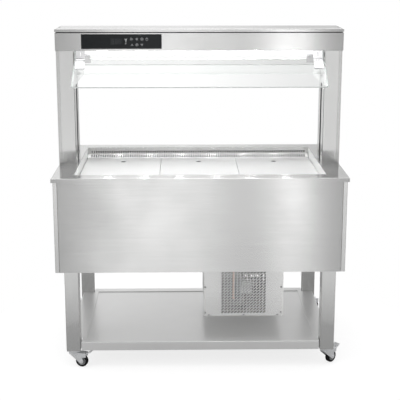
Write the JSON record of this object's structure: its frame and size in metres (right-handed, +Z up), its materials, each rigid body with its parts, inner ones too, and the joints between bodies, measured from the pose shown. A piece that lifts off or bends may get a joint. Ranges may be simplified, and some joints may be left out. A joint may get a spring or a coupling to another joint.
{
  "type": "mobile salad bar",
  "caption": "Mobile refrigerated salad bar: insulated well in a steel body on legs with casters, shelf and condensing unit below, lit canopy with lifting glass guards above.",
  "frame": {"origin": "on the floor, under the middle of the worktop", "axes": "+X to the right seen from the side of the controls, +Y to the back, +Z up"},
  "size_m": [1.14, 0.68, 1.3292],
  "materials": {
    "brushed_stainless": "satin",
    "foam": "matte",
    "fin_aluminium": "satin",
    "black_plastic": "matte",
    "grey_plastic": "matte",
    "opal_plastic": "gloss",
    "led_aluminium": "satin",
    "black_glass": "gloss",
    "circuit_board": "satin",
    "chrome": "polished",
    "clear_glass": "polished",
    "screw_steel": "satin",
    "black_enamel": "satin",
    "black_rubber": "matte",
    "copper": "satin",
    "zinc_plate": "satin",
    "fan_aluminium": "satin",
    "black_rubber_tyre": "matte"
  },
  "bodies": {
    "frame": {"worktop": "brushed_stainless", "well_liner": "brushed_stainless", "insulation": "foam", "front_panel": "brushed_stainless", "rear_panel": "brushed_stainless", "side_panel_left": "brushed_stainless", "side_panel_right": "brushed_stainless", "bottom_panel": "brushed_stainless", "air_outlet_grille": "brushed_stainless", "air_return_grille": "brushed_stainless", "evaporator_coil": "fin_aluminium", "evaporator_fan_motors": "black_plastic", "drain_pipe": "grey_plastic", "leg_front_left": "brushed_stainless", "leg_front_right": "brushed_stainless", "leg_rear_left": "brushed_stainless", "leg_rear_right": "brushed_stainless", "lower_shelf": "brushed_stainless", "post_left": "brushed_stainless", "post_right": "brushed_stainless", "post_cover_left": "brushed_stainless", "post_cover_right": "brushed_stainless", "canopy_shell": "brushed_stainless", "canopy_lid": "brushed_stainless", "led_diffuser": "opal_plastic", "led_strip": "led_aluminium", "control_panel": "black_glass", "control_board": "circuit_board", "guard_hinge_brackets": "chrome", "guard_cheek_left": "clear_glass", "guard_cheek_right": "clear_glass", "condenser_housing": "brushed_stainless", "condenser_cover": "brushed_stainless", "panel_screws": "screw_steel", "compressor": "black_enamel", "compressor_feet": "black_rubber", "condenser_coil": "fin_aluminium", "condenser_fan_motor": "black_plastic", "refrigerant_pipes": "copper", "caster_plates": "zinc_plate"},
    "fork_front_left": {"caster_fork_front_left": "zinc_plate"},
    "wheel_front_left": {"caster_wheel_front_left": "black_rubber_tyre"},
    "fork_front_right": {"caster_fork_front_right": "zinc_plate"},
    "wheel_front_right": {"caster_wheel_front_right": "black_rubber_tyre"},
    "fork_rear_left": {"caster_fork_rear_left": "zinc_plate"},
    "wheel_rear_left": {"caster_wheel_rear_left": "black_rubber_tyre"},
    "fork_rear_right": {"caster_fork_rear_right": "zinc_plate"},
    "wheel_rear_right": {"caster_wheel_rear_right": "black_rubber_tyre"},
    "pedal_left": {"brake_pedal_left": "zinc_plate"},
    "pedal_right": {"brake_pedal_right": "zinc_plate"},
    "guard_front": {"guard_front_pane": "clear_glass", "guard_front_clamps": "chrome"},
    "guard_rear": {"guard_rear_pane": "clear_glass", "guard_rear_clamps": "chrome"},
    "plate_left": {"floor_plate_left": "brushed_stainless"},
    "plate_middle": {"floor_plate_middle": "brushed_stainless"},
    "plate_right": {"floor_plate_right": "brushed_stainless"},
    "condenser_fan": {"condenser_fan_blades": "fan_aluminium"},
    "cooling_fan_left": {"evaporator_fan_left": "black_plastic"},
    "cooling_fan_right": {"evaporator_fan_right": "black_plastic"}
  },
  "joints": [
    {"name": "swivel_front_left", "type": "hinge", "parent": "frame", "child": "fork_front_left", "pos_m": [-0.5045, -0.29, 0.06], "axis": [0, 0, 1], "continuous": true},
    {"name": "wheel_spin_front_left", "type": "hinge", "parent": "fork_front_left", "child": "wheel_front_left", "pos_m": [-0.47359, -0.29828, 0.025], "axis": [0.2588, 0.9659, 0], "continuous": true},
    {"name": "swivel_front_right", "type": "hinge", "parent": "frame", "child": "fork_front_right", "pos_m": [0.5045, -0.29, 0.06], "axis": [0, 0, 1], "continuous": true},
    {"name": "wheel_spin_front_right", "type": "hinge", "parent": "fork_front_right", "child": "wheel_front_right", "pos_m": [0.52828, -0.26859, 0.025], "axis": [-0.6691, 0.7431, 0], "continuous": true},
    {"name": "swivel_rear_left", "type": "hinge", "parent": "frame", "child": "fork_rear_left", "pos_m": [-0.5045, 0.29, 0.06], "axis": [0, 0, 1], "continuous": true},
    {"name": "wheel_spin_rear_left", "type": "hinge", "parent": "fork_rear_left", "child": "wheel_rear_left", "pos_m": [-0.53457, 0.30095, 0.025], "axis": [-0.342, -0.9397, 0], "continuous": true},
    {"name": "swivel_rear_right", "type": "hinge", "parent": "frame", "child": "fork_rear_right", "pos_m": [0.5045, 0.29, 0.06], "axis": [0, 0, 1], "continuous": true},
    {"name": "wheel_spin_rear_right", "type": "hinge", "parent": "fork_rear_right", "child": "wheel_rear_right", "pos_m": [0.5335, 0.30352, 0.025], "axis": [-0.4226, 0.9063, 0], "continuous": true},
    {"name": "brake_pedal_left", "type": "hinge", "parent": "fork_front_left", "child": "pedal_left", "pos_m": [-0.46007, -0.30191, 0.052], "axis": [0.2588, 0.9659, 0], "range_deg": [0, 25]},
    {"name": "brake_pedal_right", "type": "hinge", "parent": "fork_front_right", "child": "pedal_right", "pos_m": [0.53868, -0.25922, 0.052], "axis": [-0.6691, 0.7431, 0], "range_deg": [0, 25]},
    {"name": "guard_front_lift", "type": "hinge", "parent": "frame", "child": "guard_front", "pos_m": [0, -0.098, 1.204], "axis": [-1, 0, 0], "range_deg": [0, 75]},
    {"name": "guard_rear_lift", "type": "hinge", "parent": "frame", "child": "guard_rear", "pos_m": [0, 0.098, 1.204], "axis": [1, 0, 0], "range_deg": [0, 75]},
    {"name": "plate_lift_left", "type": "slide", "parent": "frame", "child": "plate_left", "axis": [0, 0, 1], "range_m": [0, 0.25]},
    {"name": "plate_lift_middle", "type": "slide", "parent": "frame", "child": "plate_middle", "axis": [0, 0, 1], "range_m": [0, 0.25]},
    {"name": "plate_lift_right", "type": "slide", "parent": "frame", "child": "plate_right", "axis": [0, 0, 1], "range_m": [0, 0.25]},
    {"name": "condenser_fan_spin", "type": "hinge", "parent": "frame", "child": "condenser_fan", "pos_m": [0.178, 0.092, 0.2795], "axis": [0, 1, 0], "continuous": true},
    {"name": "cooling_fan_spin_left", "type": "hinge", "parent": "frame", "child": "cooling_fan_left", "pos_m": [-0.17, -0.014, 0.632], "axis": [0, 1, 0], "continuous": true},
    {"name": "cooling_fan_spin_right", "type": "hinge", "parent": "frame", "child": "cooling_fan_right", "pos_m": [0.17, -0.014, 0.632], "axis": [0, 1, 0], "continuous": true}
  ]
}
